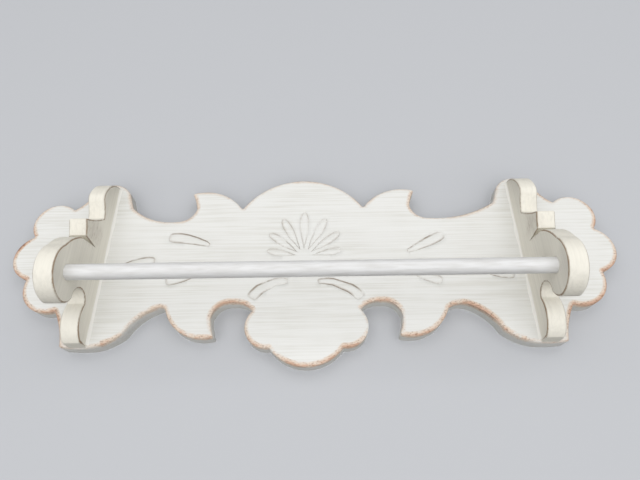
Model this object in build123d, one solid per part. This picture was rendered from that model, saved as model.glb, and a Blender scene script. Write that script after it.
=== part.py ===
from build123d import *
import os

# Wall rail with scroll brackets, in millimetres. X runs along the rail, Y runs back into the wall and Z is
# up. The origin lies on the back of the board, midway between the brackets and level with the rail's axis.

# Overall sizes
BRACKET_SPACING = 469.0  # clear length of rail between the brackets
RAIL_STANDOFF = 66.0  # from the board's front face to the rail's axis
CREST_HEIGHT = 148.0  # from the rail's axis up to the top of the crest
PENDANT_DROP = 78.0  # from the rail's axis down to the bottom of the pendant
PEAK_HEIGHT = 147.0  # top of the board behind each bracket
FOOT_DROP = 56.0  # from the rail's axis down to the soles of the board and the brackets
BRACKET_TOP = 141.0  # where each bracket's scroll springs from the board

# Stock and edges
BOARD_THICKNESS = 19.0
BRACKET_THICKNESS = 19.0
RAIL_DIAMETER = 16.0
CORNER = 2.0  # round on the corners and cusps of the sawn outlines
ARRIS = 1.2  # bevel along the sawn edges
RAIL_EASE = 0.8  # bevel round the rail's ends

# The hand-sawn crest and pendant sit a little to the left of the middle
CREST_OFFSET = -11.0
PENDANT_OFFSET = -6.0

# Rail seats, bored blind into the brackets' inner faces
HEAD_RADIUS = 30.0  # round head of the bracket
HEAD_BEHIND = 4.5  # from the rail's axis back to the head's centre
HEAD_START, HEAD_SWEEP = 50.0, -135.0  # degrees
SOCKET_DEPTH = 12.0
RAIL_CLEARANCE = 0.1  # radial
RAIL_END_FLOAT = 0.5  # at each end

# Countersunk screws, driven from the back of the board into each bracket
SCREW_DIAMETER = 4.2
SCREW_HEAD_DIAMETER = 8.2
SCREW_RECESS = 0.5  # head below the back of the board
SCREW_BITE = 19.0  # length inside the bracket
SCREW_FIT = 0.05  # room between screw and wood
SCREW_BELOW_TOP = 31.0
SCREW_ABOVE_SOLE = 20.0

# Keyhole slots, routed into the back of the board
KEYHOLE_SPACING = 406.4
KEYHOLE_HEIGHT = 80.0  # where the wall screws come to rest, above the rail's axis
KEYHOLE_RISE = 16.0
KEYHOLE_MOUTH = 9.5
KEYHOLE_SLOT = 4.8
KEYHOLE_LIP = 4.5
KEYHOLE_DEPTH = 10.0

# Sawn outlines. Each stretch ends at the first two numbers, measured from its own datum, and bows out of its
# straight line by the third, outwards where it is positive.
ARCH_HALF, ARCH_RISE = 71.7, 39.6
BOTTOM_HALF, BOTTOM_RISE = 38.5, 19.5
# From the crest's top: notch beside the arch, leaf, its underside, and the turn into the dip
CREST = [(ARCH_HALF, -ARCH_RISE, 0), (133.5, -16.2, 11.3), (126.3, -37.7, -1.0), (148.0, -54.7, -5.0)]
# From the middle of the bracket and the peak's top: dip, rise, round peak, and the hollow outside it
PEAK = [(-29.0, -33.5, -6.8), (-22.0, -13.0, 0), (22.0, -13.0, 13.0), (41.0, -35.4, -2.5)]
# From the middle of the bracket at the rail's height: three lobes round the end of the board
LOBES = [(78.7, 75.5, 25.0), (74.3, 22.0, 20.2), (33.5, -15.0, 17.0)]
# From the middle of the bracket at the sole: outside of the foot, sole, and the S into the cove
FOOT = [(19.0, 1.0, -2.2), (-14.0, 0, 1.0), (-44.5, 14.5, 2.3), (-78.0, 43.0, -4.2)]
# From the bottom of the pendant: end of the cove, lower leaf, its hook, and the side lobe
PENDANT = [
    (151.2, 60.5, -2.3),
    (97.5, 31.8, 12.3),
    (102.3, 53.0, -0.7),
    (80.0, 69.3, -5.7),
    (57.5, 60.0, -3.3),
    (BOTTOM_HALF, BOTTOM_RISE, 16.7),
]
# The bracket, outwards from the board's face and up. From the bracket's top: scroll, its belly, and the hollow
SCROLL = [(0, 0, 0), (31.5, -27.0, 6.0), (29.5, -38.0, 1.4), (21.5, -55.0, -1.0)]
# From the head's centre: leaf tip, and its end down to the shoulder over the head
LEAF = [(-4.5, 66.0, -1.5), (-12.5, 47.0, -0.8)]
SHOULDER_BOW = 3.4
# The narrow V sawn in between the leaf and the shoulder
SLIT_DEPTH, SLIT_MOUTH = 23.0, 5.0
# From the head's centre: the chin under the head
CHIN = (-14.5, -20.0, 2.5)
# From the sole at the board's face: top of the leg, its belly, and the sole
LEG_TOP = (21.6, 40.0)
LEG = [(13.0, 1.0, 7.9), (0, 0, 0)]

BRACKET_X = (BRACKET_SPACING + BRACKET_THICKNESS) / 2
RAIL_Y = -(BOARD_THICKNESS + RAIL_STANDOFF)
FORWARD = (0, -1, 0)


def placed(stretches, datum, side=1):
    """Stretches measured from a datum, mirrored left to right where side is -1."""
    return [((datum[0] + side * x, datum[1] + z), side * bow) for x, z, bow in stretches]


def sawn(stretches):
    """Edges of a sawn line that starts where the first stretch ends."""
    start = stretches[0][0]
    edges = []
    for end, bow in stretches[1:]:
        edges.append(SagittaArc(start, end, bow) if bow else Line(start, end))
        start = end
    return edges


def board_half(side):
    """Edges of one half of the board's outline, from the arch round the end to the pendant."""
    bracket = side * BRACKET_X
    return sawn(
        placed(CREST, (CREST_OFFSET, CREST_HEIGHT), side)
        + placed(PEAK, (bracket, PEAK_HEIGHT), side)
        + placed(LOBES, (bracket, 0), side)
        + placed(FOOT, (bracket, -FOOT_DROP), side)
        + placed(PENDANT, (PENDANT_OFFSET, -PENDANT_DROP), side)
    )


def board_blank():
    """The plank, sawn to its outline, with its front edge eased."""
    left, right = board_half(-1), board_half(1)
    arch = SagittaArc(left[0] @ 0, right[0] @ 0, ARCH_RISE)
    bottom = SagittaArc(right[-1] @ 1, left[-1] @ 1, BOTTOM_RISE)
    outline = Wire([arch, *right, bottom, *reversed(left)])
    plank = extrude(Plane.XZ * Face(outline), BOARD_THICKNESS, dir=FORWARD)
    plank = fillet(plank.edges().filter_by(Axis.Y), CORNER)
    return chamfer(plank.edges().group_by(Axis.Y)[0], ARRIS)


def bracket_blank(inner_x, outward):
    """A bracket's plate, sawn to its scroll, standing on the board with its inner face at inner_x."""
    head = Vector(RAIL_STANDOFF - HEAD_BEHIND, 0)
    front = CenterArc(head, HEAD_RADIUS, HEAD_START, HEAD_SWEEP)
    upper = sawn(placed(SCROLL, (0, BRACKET_TOP)) + placed(LEAF, (head.X, head.Y)))
    shoulder = SagittaArc(upper[-1] @ 1, front @ 0, SHOULDER_BOW)
    chin = SagittaArc(front @ 1, head + Vector(CHIN[0], CHIN[1]), CHIN[2])
    leg_top = Vector(LEG_TOP[0], LEG_TOP[1] - FOOT_DROP)
    throat = SagittaArc(chin @ 1, leg_top, -(leg_top - chin @ 1).length / 2)
    leg = sawn([(leg_top, 0), *placed(LEG, (0, -FOOT_DROP))])
    back = Line(leg[-1] @ 1, upper[0] @ 0)
    outline = Wire([*upper, shoulder, front, chin, throat, *leg, back])
    plane = Plane((inner_x, -BOARD_THICKNESS, 0), x_dir=FORWARD, z_dir=(-1, 0, 0))
    plate = extrude(plane * Face(outline), BRACKET_THICKNESS, dir=(outward, 0, 0))
    plate = fillet(plate.edges().filter_by(Axis.X).group_by(Axis.Y)[:-1], CORNER)
    sides = plate.edges().group_by(Axis.X)
    rim = (sides[0] + sides[-1]).filter_by(lambda edge: edge.center().Y < -BOARD_THICKNESS - CORNER)
    plate = chamfer(rim, ARRIS)
    apex = upper[-1] @ 1 - Vector(SLIT_DEPTH, 0)
    flank = Vector(SLIT_DEPTH, SLIT_MOUTH / 2) * 2
    slit = Polyline(apex, apex + flank, apex + Vector(flank.X, -flank.Y), close=True)
    return plate - extrude(plane * make_face(slit), BRACKET_THICKNESS, dir=(outward, 0, 0))


def screw(grow=0.0, sunk=0.0):
    """A screw pointing forwards from the origin. For its hole, grow adds room and sunk deepens the seat."""
    head, shank = SCREW_HEAD_DIAMETER / 2 + grow, SCREW_DIAMETER / 2 + grow
    tip = SCREW_RECESS - BOARD_THICKNESS - SCREW_BITE - grow
    profile = Polyline(
        (0, sunk),
        (head + sunk, sunk),
        (shank, shank - head),
        (shank, tip),
        (0, tip),
        close=True,
    )
    return revolve(make_face(profile), Axis.Y)


def keyhole():
    """One keyhole cutter, from its mouth up to where the wall screw's head comes to rest."""
    middle = KEYHOLE_HEIGHT - KEYHOLE_RISE / 2
    mouth = Pos(0, KEYHOLE_HEIGHT - KEYHOLE_RISE) * Circle(KEYHOLE_MOUTH / 2)
    slot = Pos(0, middle) * SlotCenterToCenter(KEYHOLE_RISE, KEYHOLE_SLOT, rotation=90)
    undercut = Pos(0, middle) * SlotCenterToCenter(KEYHOLE_RISE, KEYHOLE_MOUTH, rotation=90)
    lip = extrude(Plane.XZ * (mouth + slot), KEYHOLE_LIP, dir=FORWARD)
    room = extrude(Plane.XZ * undercut, KEYHOLE_DEPTH - KEYHOLE_LIP, dir=FORWARD)
    return lip + Pos(0, -KEYHOLE_LIP, 0) * room


def rail():
    """The round rail, its ends eased."""
    length = BRACKET_SPACING + 2 * (SOCKET_DEPTH - RAIL_END_FLOAT)
    bar = Pos(0, RAIL_Y, 0) * Rot(0, 90, 0) * Cylinder(RAIL_DIAMETER / 2, length)
    return chamfer(bar.edges().filter_by(GeomType.CIRCLE), RAIL_EASE)


def socket(inner_x, outward):
    """The cutter for the blind socket that holds one end of the rail."""
    bore = Cylinder(RAIL_DIAMETER / 2 + RAIL_CLEARANCE, SOCKET_DEPTH)
    return Pos(inner_x + outward * SOCKET_DEPTH / 2, RAIL_Y, 0) * Rot(0, 90, 0) * bore


def build():
    """Every piece of the assembly, by name."""
    screw_heights = {"top": BRACKET_TOP - SCREW_BELOW_TOP, "bottom": SCREW_ABOVE_SOLE - FOOT_DROP}
    board = board_blank()
    for side in (-1, 1):
        board -= Pos(side * KEYHOLE_SPACING / 2, 0, 0) * keyhole()
    pieces = {"rail": rail()}
    for name, outward in (("left", -1), ("right", 1)):
        inner_x = outward * BRACKET_SPACING / 2
        bracket = bracket_blank(inner_x, outward) - socket(inner_x, outward)
        for level, height in screw_heights.items():
            place = Pos(outward * BRACKET_X, -SCREW_RECESS, height)
            hole = place * screw(SCREW_FIT, SCREW_RECESS)
            board -= hole
            bracket -= hole
            pieces[f"{name}_screw_{level}"] = place * screw()
        pieces[f"{name}_bracket"] = bracket
    pieces["backboard"] = board
    return pieces


os.makedirs("parts", exist_ok=True)
for node, piece in build().items():
    export_step(piece, f"parts/{node}.step")
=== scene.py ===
import math

import bmesh
import bpy
from bpy.props import FloatProperty, FloatVectorProperty, PointerProperty
from mathutils import Matrix, Vector, noise
from mathutils.kdtree import KDTree


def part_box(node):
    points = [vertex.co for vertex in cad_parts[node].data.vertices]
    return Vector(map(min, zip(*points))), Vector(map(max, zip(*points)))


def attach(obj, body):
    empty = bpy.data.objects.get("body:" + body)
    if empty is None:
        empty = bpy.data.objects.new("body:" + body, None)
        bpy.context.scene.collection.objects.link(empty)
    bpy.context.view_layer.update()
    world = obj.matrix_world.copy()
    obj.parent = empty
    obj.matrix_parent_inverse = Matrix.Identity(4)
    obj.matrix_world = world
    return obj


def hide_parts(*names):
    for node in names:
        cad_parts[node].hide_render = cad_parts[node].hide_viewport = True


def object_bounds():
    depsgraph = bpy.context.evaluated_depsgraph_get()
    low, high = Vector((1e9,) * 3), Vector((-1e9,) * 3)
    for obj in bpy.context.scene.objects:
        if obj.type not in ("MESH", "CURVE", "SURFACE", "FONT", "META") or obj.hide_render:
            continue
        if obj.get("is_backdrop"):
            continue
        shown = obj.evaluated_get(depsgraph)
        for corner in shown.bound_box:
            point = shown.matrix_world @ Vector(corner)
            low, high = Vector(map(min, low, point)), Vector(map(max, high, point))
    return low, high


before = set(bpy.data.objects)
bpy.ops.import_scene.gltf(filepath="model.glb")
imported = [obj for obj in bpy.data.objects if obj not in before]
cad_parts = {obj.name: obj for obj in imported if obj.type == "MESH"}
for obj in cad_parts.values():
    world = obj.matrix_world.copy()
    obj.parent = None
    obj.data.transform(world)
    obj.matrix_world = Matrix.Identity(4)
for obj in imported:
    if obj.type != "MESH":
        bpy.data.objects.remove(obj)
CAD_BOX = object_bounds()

bl_info = {
    "name": "Wall rail with scroll brackets",
    "version": (1, 0, 0),
    "blender": (4, 5, 0),
    "location": "3D View > Sidebar > Wall rail",
    "description": "Carves, wears and paints a wooden wall rail on its packed frame",
    "category": "Add Mesh",
}

MM = 0.001
SIDES = ("left", "right")
FACE_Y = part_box("backboard")[0].y  # the board's front face
RAIL_LOW, RAIL_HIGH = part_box("rail")
BEVEL = 1.2 * MM  # along the sawn edges
BEVEL_SLOPES = (-0.9, -0.4)  # the y of the front bevel's normals lies between these
SHARP_ANGLE = math.radians(55)  # edges that turn more than this are drawn crisp
FLAT = 0.9999  # a face's normal along an axis, when it lies flat across it
TOUCH = 0.01 * MM  # closer than this to a plane counts as in it
MERGE = 0.002 * MM  # corners closer than this are one
SPLIT_ROUNDS = 6  # each halves the edges that are too long
EDGE_ZONE, SAG_ZONE = 3, 2  # of fine mesh, and of rounding, beside the board's edge, in widths of its rub
SAG_UNEVEN, SAG_WAVE = 0.6, 25.0 * MM  # how much the rounding varies along the edge, and over what length

# Carvings on the board's face, in millimetres across and up. A leaf runs from its round end to its tip, and
# each centre line bows to its left by the third number. The fourth is its width.
LEAVES = [
    ((-166.0, 72.0), (-116.5, 61.0), 2.5, 14.0),
    ((-177.0, 42.5), (-213.0, 36.5), -1.5, 12.0),
    ((-162.5, 17.0), (-124.0, 28.0), -1.0, 12.5),
    ((151.0, 71.0), (107.0, 49.5), 0.0, 13.0),
    ((143.0, 13.0), (106.0, 27.0), 0.5, 12.0),
    ((223.0, 19.5), (184.0, 26.5), 1.0, 11.5),
]
RIBBONS = [
    ((-26.0, 15.5), (-66.5, -4.5), -6.7, 11.5),
    ((5.5, 14.5), (54.0, -5.5), 7.2, 10.5),
]
OPEN_ENDS, OPEN_POWER = 0.6, 6  # how much glaze is missing at a motif's ends, and how suddenly
# A fan of petals in the middle: angle from upright, length and width of each, about one root
FAN_ROOT = (-9.0, 45.0)
FAN_HEART = 9.0  # where the petals' tips lie round the root
FAN_PETALS = [(0, 50.0, 11.5), (27, 47.0, 11.0), (53, 42.0, 10.5), (79, 35.0, 9.5)]
FAN_STAIN = 0.5  # the fan's grooves were wiped cleaner than the leaves'
# Shapes of the unit outlines: how wide, how blunt or pointed, and how they taper or flare
PETAL_WIDTH, PETAL_POINT = 1.35, 1.2
LEAF_WIDTH, LEAF_BLUNT, LEAF_TAPER = 0.89, 0.5, 0.32
RIBBON_BLUNT, RIBBON_FLARE = 0.35, 0.28
CARVE_POINTS = 44
CARVE_SHAKE, CARVE_WAVE = 0.45, 7.0  # how far the knife strayed, and over what length
CARVE_SEED = 5  # so that it strays alike on every run
CARVE_ENDS = 1.4  # how much faster a motif's ends draw in than its sides
RING_START = 0.05 * MM  # width of a new ring before it is laid
# Each ring of a carving: distance in from its outline, depth below the face, and how much glaze it holds
CARVE_RINGS = [(0.4, 0.5, 0.7), (1.0, 1.1, 1.0), (2.0, 0.55, 0.3), (3.0, 0.2, 0.0), (4.1, 0.03, 0.0)]

# Shares of wear along the board's edge: everywhere, and more where it faces down
EDGE_RUB, BOTTOM_RUB = 0.25, 0.6
END_LOBES = 270.0 * MM  # the board's round ends lie beyond this
LEFT_END_RUB, RIGHT_END_RUB = 0.2, 0.35  # more wear there, where the edge faces outwards
BRACKET_MIDDLE = 244.0 * MM  # from the middle of the rail to the middle of a bracket
FOOT_HALF, FOOT_TOP, FOOT_RUB = 24.0 * MM, -40.0 * MM, 0.25  # the board's feet, and their share
# Places along the board's edge that were rubbed more, or less: across and up, reach, and the wear added
WEAR_SPOTS = [
    (Vector((-337.0, 61.0)) * MM, 16.0 * MM, 1.8),
    (Vector((-190.0, -38.0)) * MM, 55.0 * MM, -0.4),
    (Vector((76.0, -12.0)) * MM, 35.0 * MM, -0.25),
    (Vector((190.0, -38.0)) * MM, 55.0 * MM, -0.12),
]
SCUFF, SCUFF_REACH = Vector((-55.0, 62.0)) * MM, 26.0 * MM  # beside each bracket's leaf, in y and z
SCUFF_RUB = 0.3
SOCKET_REACH = 10.0 * MM  # round the rail's axis
LEAF_FOOT = 44.0 * MM  # up to a bracket's leaf
# Shares along a bracket's edges: its head and leg, its leaf, and the side away from the rail
HEAD_RUB, LEAF_RUB, OUTER_RUB = 1.2, 0.85, 0.6
KEYHOLES = [Vector((side * 203.2, 72.0)) * MM for side in (-1, 1)]  # their middles, across and up
KEYHOLE_REACH = 14.0 * MM
# Sizes of the painted-over grain and of the chips along the edges, in x, y and z and in millimetres
BOARD_GRAIN, BOARD_CHIPS = (85.0, 3.0, 1.7), (7.0, 3.0, 3.0)
BRACKET_GRAIN, BRACKET_CHIPS = (3.0, 3.0, 120.0), (3.0, 3.0, 16.0)
SPECKS_PER_CHIP = 3.0
WASH, PATCH = 55.0 * MM, 30.0 * MM  # widths of the paint's thin spots, and of stretches that are rubbed alike
CUT_GRAIN = (60.0, 1.5, 1.5)  # of the routed pine, as above
RAIL_BRUSH, RAIL_CLOUD = (25.0, 3.0, 3.0), 35.0 * MM  # the rail's brush marks, as above, and its uneven sheen
ZINC_CLOUD = 1.5 * MM

# The bead of filler beside a bracket: its section in widths, how far it lies in both pieces, and what it
# leaves at its ends
BEAD_SECTION = [(0, 0), (1, 0), (0.44, -0.44), (0, -1)]
BEAD_SUNK = 0.2 * MM
BEAD_END = 2.5 * MM
BEAD_STEPS = 48
BEAD_WAVER, BEAD_WAVE = 0.5, 17.0 * MM  # how much its width varies, and over what length
BEAD_SHIFT = 11.0 * MM  # keeps the beads from varying alike

RAIL_EASE = 0.8 * MM  # bevel round the rail's ends
RAIL_RINGS = 60
RAIL_SIDES = 48
RAIL_WAVE = 33.0 * MM  # the length over which its radius varies

# Screws, in millimetres: radius and depth below the flat of the head
SCREWS = [f"{side}_screw_{level}" for side in SIDES for level in ("top", "bottom")]
SCREW_TIP = -37.5
SCREW_POINT = 7.0
SCREW_PROFILE = [
    (4.1, 0.0),
    (2.0, -2.1),
    (2.0, -13.0),
    (1.4, -13.6),
    (1.4, SCREW_TIP + SCREW_POINT),
    (0.0, SCREW_TIP),
]
SCREW_SIDES = 20
THREAD_START, THREAD_TURNS = -13.6, 13
THREAD_SECTION = [(1.2, 0.45), (2.1, 0.05), (2.1, -0.05), (1.2, -0.45)]  # radius and rise
RECESS_ARM, RECESS_HALF_WIDTH, RECESS_DEPTH, RECESS_TAPER = 2.3, 0.6, 1.9, 0.45

# The photograph's camera
EYE = (0.0171, -0.5065, -0.1911)
EYE_TURN = (117.77, 0.41, 1.16)  # degrees
LENS = 27.06

# Stage
WALL_GAP = 1.0 * MM  # behind the board
WALL_REACH = 4.0
ROOM_COLOUR = "FFFFFF"
ROOM_STRENGTH, ROOM_SEEN = 0.3, 0.55  # as it lights the object, and as the camera and reflections see it
# Place, watts and spread in degrees. The one behind is narrow, so that it leaves the sawn walls in shade
LAMPS = {
    "front_lamp": ((0.05, -1.8, -0.3), 83.0, 180),
    "back_lamp": ((0.0, 1.8, 0.0), 66.0, 12),
}
LAMP_SIZE = 5.0


def linear(code):
    """An sRGB hex colour as linear red, green and blue."""
    levels = (int(code[i : i + 2], 16) / 255 for i in (0, 2, 4))
    return tuple(c / 12.92 if c <= 0.04045 else ((c + 0.055) / 1.055) ** 2.4 for c in levels)


def length_property(name, description, default_mm):
    """A length that a user may change, in metres."""
    return FloatProperty(
        name=name,
        description=description,
        default=default_mm * MM,
        min=0.0,
        subtype="DISTANCE",
        unit="LENGTH",
    )


def colour_property(name, description, code):
    """A colour that a user may change."""
    return FloatVectorProperty(
        name=name,
        description=description,
        default=linear(code),
        min=0.0,
        max=1.0,
        size=3,
        subtype="COLOR",
    )


class WallRailSizes(bpy.types.PropertyGroup):
    """Sizes of the worn edges and the small details."""

    board_rub: length_property("Board rub", "How far in from the board's edge the paint is rubbed", 4.2)
    wall_rub: length_property("Wall rub", "How far back from the board's face its sawn walls are rubbed", 8.0)
    bracket_rub: length_property("Bracket rub", "How far in from a bracket's edge the paint is rubbed", 0.8)
    edge_sag: length_property("Edge sag", "How far the board's face is sanded down at its edge", 0.5)
    bead: length_property("Bead", "Width of the bead of filler where a bracket meets the board", 2.5)
    rail_waver: length_property("Rail waver", "How far the hand-sanded rail strays under its radius", 0.12)
    thread_pitch: length_property("Thread pitch", "Rise of one turn of the screws' thread", 1.8)
    mesh_step: length_property("Mesh step", "Longest mesh edge on the wooden faces", 7.0)
    edge_step: length_property("Edge step", "Longest mesh edge beside a rubbed edge", 2.0)


class WallRailColours(bpy.types.PropertyGroup):
    """Colours of the finishes."""

    paint: colour_property("Paint", "Off-white brushed paint", "EDEDEA")
    streak: colour_property("Streak", "Grain that shows through the paint", "E0DFD9")
    bracket_paint: colour_property("Bracket paint", "Warmer paint on the brackets", "F4F0E4")
    bracket_streak: colour_property("Bracket streak", "Grain that shows through their paint", "EAE6DA")
    thin_paint: colour_property("Thin paint", "Creamy paint rubbed thin beside the bare wood", "E4D0BC")
    bare_pine: colour_property("Bare pine", "Pine where the paint is rubbed off", "D6B29A")
    stained_pine: colour_property("Stained pine", "Darkest of the rubbed edges", "8A6450")
    bracket_thin: colour_property("Bracket thin paint", "Greyer thin paint on the brackets", "D5CEC2")
    bracket_pine: colour_property("Bracket pine", "Greyer wood along the brackets' edges", "AE9A84")
    bracket_stain: colour_property("Bracket stain", "Darkest of the brackets' edges", "937D66")
    cut_pine: colour_property("Cut pine", "Pine in the routed keyholes", "EADDC6")
    glaze: colour_property("Glaze", "Grey-brown glaze left in the grooves", "948474")
    # whiter than the paint: partly the filler's own white, partly a painted highlight along the bead
    filler: colour_property("Filler", "Smooth white filler beside the brackets", "FAF8F2")
    rail_paint: colour_property("Rail paint", "Cool silky paint on the rail", "E9E9E9")
    rail_streak: colour_property("Rail streak", "Brush marks along the rail", "DAD9D7")
    zinc: colour_property("Zinc", "Plating of the screws", "B9BCBE")
    paper: colour_property("Paper", "Pale surface behind the object", "C6C8CC")


# Mesh helpers


def cad_copy(node):
    """A bmesh of a CAD node with its loose triangles merged, and with layers for its wear and glaze."""
    bm = bmesh.new()
    bm.from_mesh(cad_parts[node].data)
    bmesh.ops.remove_doubles(bm, verts=bm.verts, dist=MERGE)
    bm.verts.layers.float.new("wear")
    bm.verts.layers.float.new("glaze")
    return bm


def once_each(items):
    """The items in their order, without the repeats. A set's order would differ from run to run."""
    return list(dict.fromkeys(items))


def split_long_edges(bm, step, lies_flat, near=None):
    """Splits the flat faces' edges that are longer than step, only where near says so if given."""
    for _ in range(SPLIT_ROUNDS):
        flat = [face for face in bm.faces if lies_flat(face)]
        edges = once_each(edge for face in flat for edge in face.edges)
        long = [edge for edge in edges if edge.calc_length() > step and (near is None or near(edge))]
        if not long:
            return
        bmesh.ops.subdivide_edges(bm, edges=long, cuts=1)
        flat = [face for face in bm.faces if lies_flat(face)]
        bmesh.ops.triangulate(bm, faces=[face for face in flat if len(face.verts) > 3])


def tree_of(verts):
    """A search tree of vertices, and the list that it indexes."""
    verts = list(verts)
    tree = KDTree(len(verts))
    for i, vert in enumerate(verts):
        tree.insert(vert.co, i)
    tree.balance()
    return tree, verts


def close_to(verts, distance):
    """A test for edges that start within a distance of any of the vertices."""
    tree, _ = tree_of(verts)
    return lambda edge: tree.find(edge.verts[0].co)[2] < distance


def fade(distance, reach):
    """Falls evenly from one, at no distance, to none at reach."""
    return max(0.0, 1 - distance / reach)


def cut_through(bm, spot, normal):
    """Cuts every face along a plane, and leaves both halves in place."""
    bmesh.ops.bisect_plane(bm, geom=[*bm.verts, *bm.edges, *bm.faces], plane_co=spot, plane_no=normal)


def rub_edges(bm, arris, reach_at, share):
    """Writes how far the paint is rubbed off: each edge's share along its arris, none beyond its reach."""
    wear = bm.verts.layers.float["wear"]
    tree, verts = tree_of(arris)
    for vert in bm.verts:
        _, i, distance = tree.find(vert.co)
        vert[wear] = share(verts[i]) * fade(distance, reach_at(vert))


def show(bm, name, body, slot, materials, *nodes):
    """Makes a piece of a bmesh, crisp round its flat back. It rides on a body and stands for CAD nodes."""
    bmesh.ops.recalc_face_normals(bm, faces=bm.faces)
    for face in bm.faces:
        face.smooth = True
    for edge in bm.edges:
        backs = {face.normal.y > FLAT for face in edge.link_faces}
        edge.smooth = len(backs) == 1 and edge.calc_face_angle(0.0) < SHARP_ANGLE
    mesh = bpy.data.meshes.new(name)
    bm.to_mesh(mesh)
    bm.free()
    for material in materials:
        mesh.materials.append(material)
    piece = bpy.data.objects.new(name, mesh)
    bpy.context.scene.collection.objects.link(piece)
    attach(piece, body)
    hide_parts(*nodes)


# Carving


def petal(turn):
    """A point of a unit teardrop, from its tip at 1 round its blunt end at -1."""
    return math.cos(turn), PETAL_WIDTH * math.sin(turn) * math.sin(turn / 2) ** PETAL_POINT


def leaf(turn):
    """A point of a unit pod, from its narrow blunt tip at 1 round its wide end at -1."""
    along, across = math.cos(turn), math.sin(turn)
    return along, math.copysign(abs(across) ** LEAF_BLUNT, across) * (LEAF_WIDTH - LEAF_TAPER * along)


def ribbon(turn):
    """A point of a unit strip with softened corners, which widens towards its outer end at 1."""
    along, across = math.cos(turn), math.sin(turn)
    along = math.copysign(abs(along) ** RIBBON_BLUNT, along)
    return along, math.copysign(abs(across) ** RIBBON_BLUNT, across) * (1 + RIBBON_FLARE * along)


class Carving:
    """A motif cut into the board's face along a bowed centre line."""

    def __init__(self, bm, outline, start, end, bow, width, stain=1.0):
        self.outline, self.stain = outline, stain
        self.middle = (Vector(start) + Vector(end)) / 2
        self.half = (Vector(end) - Vector(start)) / 2
        self.bow, self.width = bow, width
        made = bmesh.ops.create_circle(bm, cap_ends=True, segments=CARVE_POINTS, radius=1)
        self.face = made["verts"][0].link_faces[0]
        self.lay(0.0, 0.0)

    def corners(self):
        """Each corner of the motif's face, with its place along and across the unit outline."""
        for i, vert in enumerate(self.face.verts):
            yield vert, *self.outline(math.tau * (i + 0.5) / CARVE_POINTS)

    def lay(self, inset, depth):
        """Lays the motif's face on its outline, in by inset and down by depth, in millimetres."""
        side = self.half.orthogonal().normalized()
        broad = 1 - 2 * inset / self.width
        long = 1 - CARVE_ENDS * inset / self.half.length
        for vert, along, across in self.corners():
            along *= long
            slope = self.half - side * (2 * self.bow * along)
            centre = self.middle + self.half * along + side * self.bow * (1 - along * along)
            spot = centre + slope.orthogonal().normalized() * across * broad * self.width / 2
            spot += noise.noise_vector((spot.x / CARVE_WAVE, spot.y / CARVE_WAVE, 0)).xy * CARVE_SHAKE
            vert.co = (spot.x * MM, FACE_Y + depth * MM, spot.y * MM)

    def sink(self, bm, glaze):
        """Cuts the groove round the motif and rounds off what stands inside it."""
        for inset, depth, held in CARVE_RINGS:
            bmesh.ops.inset_individual(bm, faces=[self.face], thickness=RING_START)
            self.lay(inset, depth)
            for vert, along, _ in self.corners():
                vert[glaze] = held * self.stain * (1 - OPEN_ENDS * along**OPEN_POWER)
        bmesh.ops.triangulate(bm, faces=[self.face], ngon_method="BEAUTY")


def carvings(bm):
    """Every motif on the board's face, laid flat on it."""
    noise.seed_set(CARVE_SEED)
    made = [Carving(bm, leaf, *place) for place in LEAVES]
    made += [Carving(bm, ribbon, *place) for place in RIBBONS]
    root = Vector(FAN_ROOT)
    for angle, length, width in FAN_PETALS:
        for side in (-1, 1) if angle else (1,):
            ray = Vector((side * math.sin(math.radians(angle)), math.cos(math.radians(angle))))
            tip, end = root + ray * FAN_HEART, root + ray * (FAN_HEART + length)
            made.append(Carving(bm, petal, end, tip, 0, width, FAN_STAIN))
    return made


# Finishes


def add(tree, kind, inputs=None, out=None, **settings):
    """Adds a shader node, fills its sockets from values or other outputs, and returns its own output."""
    made = tree.nodes.new("ShaderNode" + kind)
    for name, value in settings.items():
        setattr(made, name, value)
    for name, value in (inputs or {}).items():
        if isinstance(value, bpy.types.NodeSocket):
            tree.links.new(value, made.inputs[name])
        else:
            made.inputs[name].default_value = value
    return made.outputs[out] if out else next((socket for socket in made.outputs if socket.enabled), None)


def new_material(name):
    """An empty node material and its tree."""
    material = bpy.data.materials.new(name)
    material.use_nodes = True
    material.node_tree.nodes.clear()
    return material, material.node_tree


def spread_over(sizes):
    """A pattern's scale along x, y and z, from its size in millimetres."""
    return [1 / (size * MM) for size in sizes]


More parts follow.
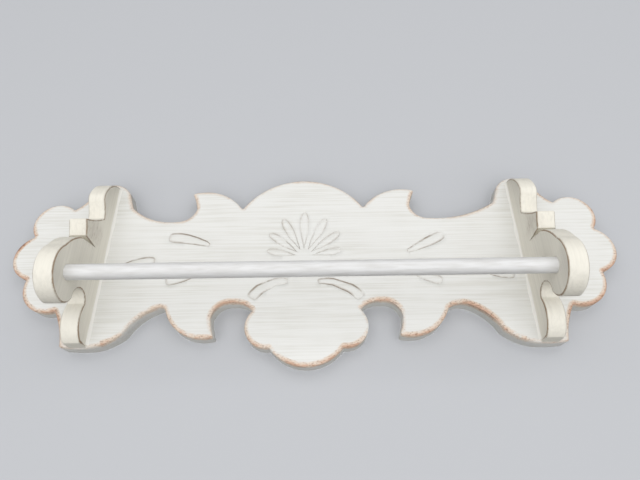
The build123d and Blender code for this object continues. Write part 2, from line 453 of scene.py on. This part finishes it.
def painted_pine(name, tints, colours, grain, chips):
    """Brushed off-white paint over pine. It has a dull sheen, and faint lines along the grain where it is
    thin. Along the edges it is rubbed creamy, then through to pale brown wood with dark specks, and
    grey-brown glaze is left in its grooves."""
    paint, streak, thin_paint, rubbed, stained, glaze = ((*tint, 1) for tint in (*tints, colours.glaze))
    material, tree = new_material(name)
    place = add(tree, "TexCoord", out="Object")
    along = add(tree, "Mapping", {"Vector": place, "Scale": spread_over(grain)})
    lines = add(tree, "TexNoise", {"Vector": along, "Scale": 1.0, "Detail": 4.0, "Roughness": 0.6})
    wash = add(tree, "TexNoise", {"Vector": place, "Scale": 1 / WASH, "Detail": 2.0})
    patch = add(tree, "TexNoise", {"Vector": place, "Scale": 1 / PATCH, "Detail": 2.0})
    cells = add(tree, "Mapping", {"Vector": place, "Scale": spread_over(chips)})
    chip = add(tree, "TexNoise", {"Vector": cells, "Scale": 1.0, "Detail": 4.0, "Roughness": 0.65})

    streaks = add(tree, "MapRange", {"Value": lines, "From Min": 0.42, "From Max": 0.66, "To Max": 0.9})
    thin_spots = {"From Min": 0.35, "From Max": 0.65, "To Min": 0.45, "To Max": 1.2}
    thinness = add(tree, "MapRange", {"Value": wash, **thin_spots})
    streaks = add(tree, "Math", {0: streaks, 1: thinness}, operation="MULTIPLY")
    shade = add(tree, "Math", {0: wash, 1: 0.2, 2: streaks}, operation="MULTIPLY_ADD", use_clamp=True)
    coat = add(tree, "Mix", {"Factor": shade, "A": paint, "B": streak}, data_type="RGBA")

    held = add(tree, "Attribute", attribute_name="glaze", out="Fac")
    blot = add(tree, "Math", {0: patch, 1: 1.5, 2: chip}, operation="MULTIPLY_ADD")
    wiped = add(tree, "MapRange", {"Value": blot, "From Min": 1.05, "From Max": 1.45, "To Min": 0.1})
    glazed = add(tree, "Math", {0: held, 1: wiped}, operation="MULTIPLY", use_clamp=True)
    coat = add(tree, "Mix", {"Factor": glazed, "A": coat, "B": glaze}, data_type="RGBA")

    worn = add(tree, "Attribute", attribute_name="wear", out="Fac")
    grit = add(tree, "Math", {0: chip, 1: 2.2, 2: -1.3}, operation="MULTIPLY_ADD")
    grit = add(tree, "Math", {0: patch, 1: 2.4, 2: grit}, operation="MULTIPLY_ADD")
    ragged = add(tree, "Math", {0: worn, 1: grit}, operation="MULTIPLY")
    creamy = add(tree, "MapRange", {"Value": ragged, "From Min": 0.06, "From Max": 0.38, "To Max": 0.85})
    coat = add(tree, "Mix", {"Factor": creamy, "A": coat, "B": thin_paint}, data_type="RGBA")
    bare = add(tree, "MapRange", {"Value": ragged, "From Min": 0.5, "From Max": 0.85})
    deep = add(tree, "MapRange", {"Value": ragged, "From Min": 1.1, "From Max": 2.2})
    wood = add(tree, "Mix", {"Factor": deep, "A": rubbed, "B": stained}, data_type="RGBA")
    colour = add(tree, "Mix", {"Factor": bare, "A": coat, "B": wood}, data_type="RGBA")
    speck = add(tree, "TexNoise", {"Vector": cells, "Scale": SPECKS_PER_CHIP, "Detail": 2.0})
    specks = add(tree, "MapRange", {"Value": speck, "From Min": 0.52, "From Max": 0.66, "To Max": 0.75})
    stuck = add(tree, "Math", {0: specks, 1: creamy}, operation="MULTIPLY")
    colour = add(tree, "Mix", {"Factor": stuck, "A": colour, "B": stained}, data_type="RGBA")

    dull = add(tree, "MapRange", {"Value": bare, "To Min": 0.48, "To Max": 0.75})
    height = add(tree, "Math", {0: bare, 1: -0.5, 2: lines}, operation="MULTIPLY_ADD")
    bump = add(tree, "Bump", {"Strength": 0.35, "Distance": 0.25 * MM, "Height": height})
    surface = add(tree, "BsdfPrincipled", {"Base Color": colour, "Roughness": dull, "Normal": bump})
    add(tree, "OutputMaterial", {"Surface": surface})
    return material


def filler_with_painted_highlight(colours):
    """White filler smoothed with a finger, plain and a little shiny; its white is partly a painted highlight.
    """
    material, tree = new_material("filler_with_painted_highlight")
    surface = add(tree, "BsdfPrincipled", {"Base Color": (*colours.filler, 1), "Roughness": 0.35})
    add(tree, "OutputMaterial", {"Surface": surface})
    return material


def cut_pine(colours):
    """Pine as the router leaves it. It is dry and pale, with darker lines along the board."""
    material, tree = new_material("cut_pine")
    place = add(tree, "TexCoord", out="Object")
    along = add(tree, "Mapping", {"Vector": place, "Scale": spread_over(CUT_GRAIN)})
    lines = add(tree, "TexNoise", {"Vector": along, "Scale": 1.0, "Detail": 3.0})
    tint = add(tree, "MapRange", {"Value": lines, "To Max": 0.5})
    tints = {"Factor": tint, "A": (*colours.cut_pine, 1), "B": (*colours.bare_pine, 1)}
    colour = add(tree, "Mix", tints, data_type="RGBA")
    surface = add(tree, "BsdfPrincipled", {"Base Color": colour, "Roughness": 0.8})
    add(tree, "OutputMaterial", {"Surface": surface})
    return material


def silky_paint(colours):
    """Cool white satin paint on a sanded dowel. Soft highlights run along it, broken by faint brush lines."""
    material, tree = new_material("silky_paint")
    place = add(tree, "TexCoord", out="Object")
    along = add(tree, "Mapping", {"Vector": place, "Scale": spread_over(RAIL_BRUSH)})
    lines = add(tree, "TexNoise", {"Vector": along, "Scale": 1.0, "Detail": 3.0})
    cloud = add(tree, "TexNoise", {"Vector": place, "Scale": 1 / RAIL_CLOUD, "Detail": 3.0})
    tint = add(tree, "MapRange", {"Value": lines, "From Min": 0.4, "From Max": 0.7})
    tints = {"Factor": tint, "A": (*colours.rail_paint, 1), "B": (*colours.rail_streak, 1)}
    colour = add(tree, "Mix", tints, data_type="RGBA")
    dull = add(tree, "MapRange", {"Value": cloud, "To Min": 0.28, "To Max": 0.46})
    bump = add(tree, "Bump", {"Strength": 0.25, "Distance": 0.15 * MM, "Height": lines})
    surface = add(tree, "BsdfPrincipled", {"Base Color": colour, "Roughness": dull, "Normal": bump})
    add(tree, "OutputMaterial", {"Surface": surface})
    return material


def zinc_plate(colours):
    """Bright zinc on steel. It is grey and cloudy, with a soft shine."""
    material, tree = new_material("zinc_plate")
    place = add(tree, "TexCoord", out="Object")
    cloud = add(tree, "TexNoise", {"Vector": place, "Scale": 1 / ZINC_CLOUD, "Detail": 3.0})
    dull = add(tree, "MapRange", {"Value": cloud, "To Min": 0.25, "To Max": 0.5})
    look = {"Base Color": (*colours.zinc, 1), "Metallic": 1.0, "Roughness": dull}
    surface = add(tree, "BsdfPrincipled", look)
    add(tree, "OutputMaterial", {"Surface": surface})
    return material


def studio_paper(colours):
    """Matt paper that shows from the front alone, so that the back of the object can be seen."""
    material, tree = new_material("studio_paper")
    matt = add(tree, "BsdfDiffuse", {"Color": (*colours.paper, 1)})
    clear = add(tree, "BsdfTransparent")
    behind = add(tree, "NewGeometry", out="Backfacing")
    surface = add(tree, "MixShader", {0: behind, 1: matt, 2: clear})
    add(tree, "OutputMaterial", {"Surface": surface})
    return material


# Pieces


def on_face(face):
    """Whether a face lies in the plane of the board's front."""
    return face.normal.y < -FLAT and abs(face.calc_center_median().y - FACE_Y) < TOUCH


def on_side(face):
    """Whether a face lies flat on a bracket's side."""
    return abs(face.normal.x) > FLAT


def in_keyhole(face):
    """Whether a face lies inside a keyhole, and not on the board's back."""
    centre = face.calc_center_median()
    near = any((centre.xz - middle).length < KEYHOLE_REACH for middle in KEYHOLES)
    return near and FACE_Y + BEVEL < centre.y < -TOUCH


def board_share(vert):
    """How far the board's edge is rubbed: most along the bottom and round the ends, least along the top."""
    flat = Vector((vert.normal.x, vert.normal.z)).normalized()
    if abs(abs(vert.co.x) - BRACKET_MIDDLE) < FOOT_HALF and vert.co.z < FOOT_TOP:
        return FOOT_RUB
    share = EDGE_RUB + BOTTOM_RUB * max(0.0, -flat.y)
    if abs(vert.co.x) > END_LOBES and flat.x * vert.co.x > 0:
        share += abs(flat.x) * (RIGHT_END_RUB if vert.co.x > 0 else LEFT_END_RUB)
    return share + sum(extra * fade((vert.co.xz - spot).length, reach) for spot, reach, extra in WEAR_SPOTS)


def bracket_share(vert):
    """How far a bracket's edge is rubbed: most round its head and leg, on the side that faces the rail."""
    if abs(vert.co.x) > BRACKET_MIDDLE:
        return OUTER_RUB
    return HEAD_RUB if vert.co.z < LEAF_FOOT else LEAF_RUB


def on_arris(vert):
    """Whether a corner lies on the edge of a bracket's side, away from the board and the rail."""
    sides = [on_side(face) for face in vert.link_faces]
    from_rail = (vert.co - (RAIL_LOW + RAIL_HIGH) / 2).yz.length
    return any(sides) and not all(sides) and vert.co.y < FACE_Y - BEVEL and from_rail > SOCKET_REACH


def carve(bm):
    """Cuts the motifs into the board's face."""
    front = [face for face in bm.faces if on_face(face)]
    edges = once_each(edge for face in front for edge in face.edges)
    rim = [edge for edge in edges if not all(on_face(face) for face in edge.link_faces)]
    bmesh.ops.delete(bm, geom=front, context="FACES")
    glaze = bm.verts.layers.float["glaze"]
    motifs = carvings(bm)
    loops = [edge for motif in motifs for edge in motif.face.edges]
    bmesh.ops.triangle_fill(bm, edges=[*rim, *loops], use_beauty=True, normal=(0, -1, 0))
    for motif in motifs:
        motif.sink(bm, glaze)
    bmesh.ops.recalc_face_normals(bm, faces=bm.faces)


def sag_edges(bm, arris, reach, depth):
    """Rounds the board's face down towards its sanded edge, a little unevenly."""
    tree, _ = tree_of([vert for vert in arris if vert.co.y > FACE_Y + BEVEL / 2])
    for vert in bm.verts:
        distance = tree.find(vert.co)[2]
        if distance < reach and vert.co.y < FACE_Y + BEVEL / 2:
            uneven = 1 + SAG_UNEVEN * noise.noise(vert.co / SAG_WAVE)
            vert.co.y += depth * uneven * (1 - distance / reach) ** 2


def carved_backboard(sizes, colours):
    """The scroll-sawn board: its face carved, its edges rubbed, its keyholes left in bare wood."""
    bm = cad_copy("backboard")
    bevel = bm.faces.layers.int.new("bevel")
    flattest, steepest = BEVEL_SLOPES
    for face in bm.faces:
        slopes = flattest < face.normal.y < steepest
        face[bevel] = slopes and face.calc_center_median().y < FACE_Y + BEVEL
        face.material_index = in_keyhole(face)
    carve(bm)
    split_long_edges(bm, sizes.mesh_step, on_face)
    arris = once_each(vert for face in bm.faces if face[bevel] for vert in face.verts)
    split_long_edges(bm, sizes.edge_step, on_face, close_to(arris, EDGE_ZONE * sizes.board_rub))
    cut_through(bm, (0, FACE_Y + BEVEL + sizes.wall_rub, 0), (0, 1, 0))
    bm.normal_update()
    arris = once_each(vert for face in bm.faces if face[bevel] for vert in face.verts)
    behind = FACE_Y + BEVEL / 2
    rub_edges(bm, arris, lambda vert: sizes.wall_rub if vert.co.y > behind else sizes.board_rub, board_share)
    sag_edges(bm, arris, SAG_ZONE * sizes.board_rub, sizes.edge_sag)
    tints = (colours.paint, colours.streak, colours.thin_paint, colours.bare_pine, colours.stained_pine)
    paint = painted_pine("board_paint_on_pine", tints, colours, BOARD_GRAIN, BOARD_CHIPS)
    show(bm, "carved_backboard", "frame", "painted_wood", [paint, cut_pine(colours)], "backboard")


def lay_bead(bm, x, outward, low_z, high_z, width):
    """Lays a hand-run bead of filler up one side of a bracket, where it meets the board."""
    corner = Vector((x, FACE_Y, low_z)) - Vector((outward, -1, 0)) * BEAD_SUNK
    section = [corner + Vector((outward * a, b, 0)) * width for a, b in BEAD_SECTION]
    face = bm.faces.new([bm.verts.new(spot) for spot in section])
    laid = len(bm.verts) - len(section)
    rise = (0, 0, (high_z - low_z) / BEAD_STEPS)
    bmesh.ops.spin(bm, geom=[face], cent=corner, axis=(0, 0, 1), dvec=rise, angle=0, steps=BEAD_STEPS)
    for vert in list(bm.verts)[laid:]:
        for face in vert.link_faces:
            face.material_index = 1
        waver = 1 + BEAD_WAVER * noise.noise((x / BEAD_SHIFT, 0, vert.co.z / BEAD_WAVE))
        vert.co.xy = corner.xy + (vert.co.xy - corner.xy) * waver


def scroll_bracket(side, sizes, materials):
    """One sawn bracket: its edges rubbed to thin brown lines, with a bead of filler down both sides."""
    node = f"{side}_bracket"
    low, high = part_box(node)
    bm = cad_copy(node)
    flat = [face for face in bm.faces if on_side(face)]
    bmesh.ops.inset_region(bm, faces=flat, thickness=sizes.bracket_rub, use_boundary=True)
    split_long_edges(bm, sizes.mesh_step, on_side)
    for x in (low.x + BEVEL + sizes.bracket_rub, high.x - BEVEL - sizes.bracket_rub):
        cut_through(bm, (x, 0, 0), (1, 0, 0))
    bm.normal_update()
    arris = [vert for vert in bm.verts if on_arris(vert)]
    rub_edges(bm, arris, lambda vert: sizes.bracket_rub, bracket_share)
    wear = bm.verts.layers.float["wear"]
    for vert in bm.verts:
        if abs(vert.co.x) < BRACKET_MIDDLE:
            vert[wear] += SCUFF_RUB * fade((vert.co.yz - SCUFF).length, SCUFF_REACH)
    for x, outward in ((low.x, -1), (high.x, 1)):
        lay_bead(bm, x, outward, low.z + BEAD_END, high.z - BEAD_END, sizes.bead)
    show(bm, f"{side}_scroll_bracket", "frame", "painted_wood", materials, node)


def sanded_rail(sizes, colours):
    """The round rail, a little uneven from hand sanding."""
    centre = (RAIL_LOW + RAIL_HIGH) / 2
    radius = (RAIL_HIGH.z - RAIL_LOW.z) / 2
    length = RAIL_HIGH.x - RAIL_LOW.x
    profile = [(0, 0), (0, radius - RAIL_EASE)]
    for step in range(RAIL_RINGS + 1):
        x = RAIL_EASE + (length - 2 * RAIL_EASE) * step / RAIL_RINGS
        sanded = 0.5 + 0.5 * noise.noise((x / RAIL_WAVE, 0, 0))
        profile.append((x, radius - sizes.rail_waver * sanded))
    profile += [(length, radius - RAIL_EASE), (length, 0)]
    bm = bmesh.new()
    verts = [bm.verts.new((RAIL_LOW.x + x, centre.y, centre.z + r)) for x, r in profile]
    edges = [bm.edges.new(pair) for pair in zip(verts, verts[1:])]
    turn = {"cent": centre, "axis": (1, 0, 0), "angle": math.tau, "steps": RAIL_SIDES}
    bmesh.ops.spin(bm, geom=[*verts, *edges], use_merge=True, **turn)
    bmesh.ops.remove_doubles(bm, verts=bm.verts, dist=MERGE)
    show(bm, "sanded_rail", "rail", "painted_rail", [silky_paint(colours)], "rail")


def cross_recess(bm):
    """Closes a screw's head with a flat that has a cross recess in it."""
    rim = [edge for edge in bm.edges if edge.is_boundary]
    half = RECESS_HALF_WIDTH
    arm = [(RECESS_ARM, half), (RECESS_ARM, -half), (half, -half)]
    turns = [Matrix.Rotation(math.tau * quarter / 4, 3, "Y") for quarter in range(4)]
    mouth = bm.faces.new([bm.verts.new(turn @ Vector((x, 0, z))) for turn in turns for x, z in arm])
    bmesh.ops.triangle_fill(bm, edges=[*rim, *mouth.edges], use_beauty=True, normal=(0, 1, 0))
    made = bmesh.ops.extrude_face_region(bm, geom=[mouth])["geom"]
    bmesh.ops.delete(bm, geom=[mouth], context="FACES_ONLY")
    floor = [item for item in made if isinstance(item, bmesh.types.BMVert)]
    bmesh.ops.translate(bm, verts=floor, vec=(0, -RECESS_DEPTH, 0))
    bmesh.ops.scale(bm, verts=floor, vec=(RECESS_TAPER, 1, RECESS_TAPER))


def wood_screw(node, sizes, plating):
    """A countersunk wood screw with a cross recess, a thread and a point."""
    bm = bmesh.new()
    verts = [bm.verts.new((radius, depth, 0)) for radius, depth in SCREW_PROFILE]
    edges = [bm.edges.new(pair) for pair in zip(verts, verts[1:])]
    turn = {"cent": (0, 0, 0), "axis": (0, 1, 0)}
    bmesh.ops.spin(bm, geom=[*verts, *edges], angle=math.tau, steps=SCREW_SIDES, use_merge=True, **turn)
    bmesh.ops.remove_doubles(bm, verts=bm.verts, dist=MERGE / MM)
    cross_recess(bm)
    start = [bm.verts.new((radius, THREAD_START + rise, 0)) for radius, rise in THREAD_SECTION]
    section = bm.faces.new(start)
    fall = sizes.thread_pitch / MM / SCREW_SIDES
    steps = SCREW_SIDES * THREAD_TURNS
    bmesh.ops.spin(bm, geom=[section], dvec=(0, -fall, 0), angle=math.tau * THREAD_TURNS, steps=steps, **turn)
    for vert in bm.verts:
        taper = min(1.0, (vert.co.y - SCREW_TIP) / SCREW_POINT)
        vert.co.x *= taper
        vert.co.z *= taper
    low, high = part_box(node)
    bmesh.ops.scale(bm, verts=bm.verts, vec=(MM, MM, MM))
    bmesh.ops.translate(bm, verts=bm.verts, vec=((low.x + high.x) / 2, high.y, (low.z + high.z) / 2))
    bmesh.ops.remove_doubles(bm, verts=bm.verts, dist=MERGE)
    show(bm, f"{node}_wood", "frame", "zinc_screw", [plating], node)


# Stage


def paper_wall(colours):
    """A pale wall just behind the board, which lets light through to the board's back."""
    bm = bmesh.new()
    bmesh.ops.create_grid(bm, x_segments=1, y_segments=1, size=WALL_REACH)
    bmesh.ops.rotate(bm, verts=bm.verts, matrix=Matrix.Rotation(math.radians(90), 3, "X"))
    bmesh.ops.translate(bm, verts=bm.verts, vec=(0, WALL_GAP, 0))
    mesh = bpy.data.meshes.new("paper_wall")
    bm.to_mesh(mesh)
    bm.free()
    mesh.materials.append(studio_paper(colours))
    wall = bpy.data.objects.new("paper_wall", mesh)
    bpy.context.scene.collection.objects.link(wall)
    wall.visible_diffuse = False
    wall.visible_glossy = False
    wall.visible_transmission = False
    wall.visible_shadow = False
    wall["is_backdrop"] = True


def studio_light():
    """A pale room that lights the object from before it, with a broad soft lamp there and one behind it."""
    world = bpy.data.worlds.new("pale_room")
    world.use_nodes = True
    tree = world.node_tree
    tree.nodes.clear()
    rays = [add(tree, "LightPath", out=f"Is {kind} Ray") for kind in ("Camera", "Glossy", "Transmission")]
    seen = add(tree, "Math", {0: rays[0], 1: rays[1]}, operation="ADD")
    seen = add(tree, "Math", {0: seen, 1: rays[2]}, operation="ADD", use_clamp=True)
    way = add(tree, "TexCoord", out="Generated")
    depth = add(tree, "SeparateXYZ", {0: way}, "Y")
    before = add(tree, "Math", {0: depth, 1: 0.0}, operation="LESS_THAN")
    lit = add(tree, "Math", {0: before, 1: ROOM_STRENGTH}, operation="MULTIPLY")
    strength = add(tree, "MapRange", {"Value": seen, "To Min": lit, "To Max": ROOM_SEEN})
    room = add(tree, "Background", {"Color": (*linear(ROOM_COLOUR), 1), "Strength": strength})
    add(tree, "OutputWorld", {"Surface": room})
    bpy.context.scene.world = world
    for name, (place, watts, spread) in LAMPS.items():
        light = bpy.data.lights.new(name, "AREA")
        light.size = LAMP_SIZE
        light.energy = watts
        light.spread = math.radians(spread)
        lamp = bpy.data.objects.new(name, light)
        lamp.location = place
        lamp.visible_glossy = name == "front_lamp"  # the narrow one would glint in the paint
        lamp.rotation_euler = (-Vector(place)).to_track_quat("-Z", "Y").to_euler()
        bpy.context.scene.collection.objects.link(lamp)


def photo_camera():
    """The camera at the photograph's place."""
    camera = bpy.data.objects.new("camera", bpy.data.cameras.new("camera"))
    camera.data.lens = LENS
    camera.location = EYE
    camera.rotation_euler = [math.radians(angle) for angle in EYE_TURN]
    bpy.context.scene.collection.objects.link(camera)
    bpy.context.scene.camera = camera


# Add-on


class WALLRAIL_OT_backboard(bpy.types.Operator):
    """Carve and paint the backboard"""

    bl_idname = "wall_rail.backboard"
    bl_label = "Backboard"

    def execute(self, context):
        carved_backboard(context.scene.wall_rail_sizes, context.scene.wall_rail_colours)
        return {"FINISHED"}


class WALLRAIL_OT_brackets(bpy.types.Operator):
    """Rub and paint both brackets"""

    bl_idname = "wall_rail.brackets"
    bl_label = "Brackets"

    def execute(self, context):
        colours = context.scene.wall_rail_colours
        tints = (
            colours.bracket_paint,
            colours.bracket_streak,
            colours.bracket_thin,
            colours.bracket_pine,
            colours.bracket_stain,
        )
        paint = painted_pine("bracket_paint_on_pine", tints, colours, BRACKET_GRAIN, BRACKET_CHIPS)
        # the bead's filler, whose white is partly a painted highlight
        filler = filler_with_painted_highlight(colours)
        for side in SIDES:
            scroll_bracket(side, context.scene.wall_rail_sizes, [paint, filler])
        return {"FINISHED"}


class WALLRAIL_OT_rail(bpy.types.Operator):
    """Turn and paint the rail"""

    bl_idname = "wall_rail.rail"
    bl_label = "Rail"

    def execute(self, context):
        sanded_rail(context.scene.wall_rail_sizes, context.scene.wall_rail_colours)
        return {"FINISHED"}


class WALLRAIL_OT_screws(bpy.types.Operator):
    """Thread the four screws"""

    bl_idname = "wall_rail.screws"
    bl_label = "Screws"

    def execute(self, context):
        plating = zinc_plate(context.scene.wall_rail_colours)
        for node in SCREWS:
            wood_screw(node, context.scene.wall_rail_sizes, plating)
        return {"FINISHED"}


class WALLRAIL_OT_stage(bpy.types.Operator):
    """Set up the wall, the light and the camera"""

    bl_idname = "wall_rail.stage"
    bl_label = "Stage"

    def execute(self, context):
        context.scene.view_settings.view_transform = "Standard"
        paper_wall(context.scene.wall_rail_colours)
        studio_light()
        photo_camera()
        return {"FINISHED"}


class WALLRAIL_PT_panel(bpy.types.Panel):
    """Lists the wall rail's pieces, sizes and colours"""

    bl_idname = "WALLRAIL_PT_panel"
    bl_label = "Wall rail"
    bl_space_type = "VIEW_3D"
    bl_region_type = "UI"
    bl_category = "Wall rail"

    def draw(self, context):
        for operator in OPERATORS:
            self.layout.operator(operator.bl_idname)
        for group in (context.scene.wall_rail_sizes, context.scene.wall_rail_colours):
            for name in group.bl_rna.properties.keys():
                if name not in ("rna_type", "name"):
                    self.layout.prop(group, name)


OPERATORS = (
    WALLRAIL_OT_backboard,
    WALLRAIL_OT_brackets,
    WALLRAIL_OT_rail,
    WALLRAIL_OT_screws,
    WALLRAIL_OT_stage,
)
CLASSES = (WallRailSizes, WallRailColours, *OPERATORS, WALLRAIL_PT_panel)


def register():
    for cls in CLASSES:
        bpy.utils.register_class(cls)
    bpy.types.Scene.wall_rail_sizes = PointerProperty(type=WallRailSizes)
    bpy.types.Scene.wall_rail_colours = PointerProperty(type=WallRailColours)


def unregister():
    del bpy.types.Scene.wall_rail_colours
    del bpy.types.Scene.wall_rail_sizes
    for cls in reversed(CLASSES):
        bpy.utils.unregister_class(cls)


def main():
    register()
    bpy.ops.wall_rail.backboard()
    bpy.ops.wall_rail.brackets()
    bpy.ops.wall_rail.rail()
    bpy.ops.wall_rail.screws()
    bpy.ops.wall_rail.stage()
    boxes = {"cad": CAD_BOX, "visual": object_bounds()}
    {name: [list(corner) for corner in box] for name, box in boxes.items()}


if __name__ == "__main__":
    main()
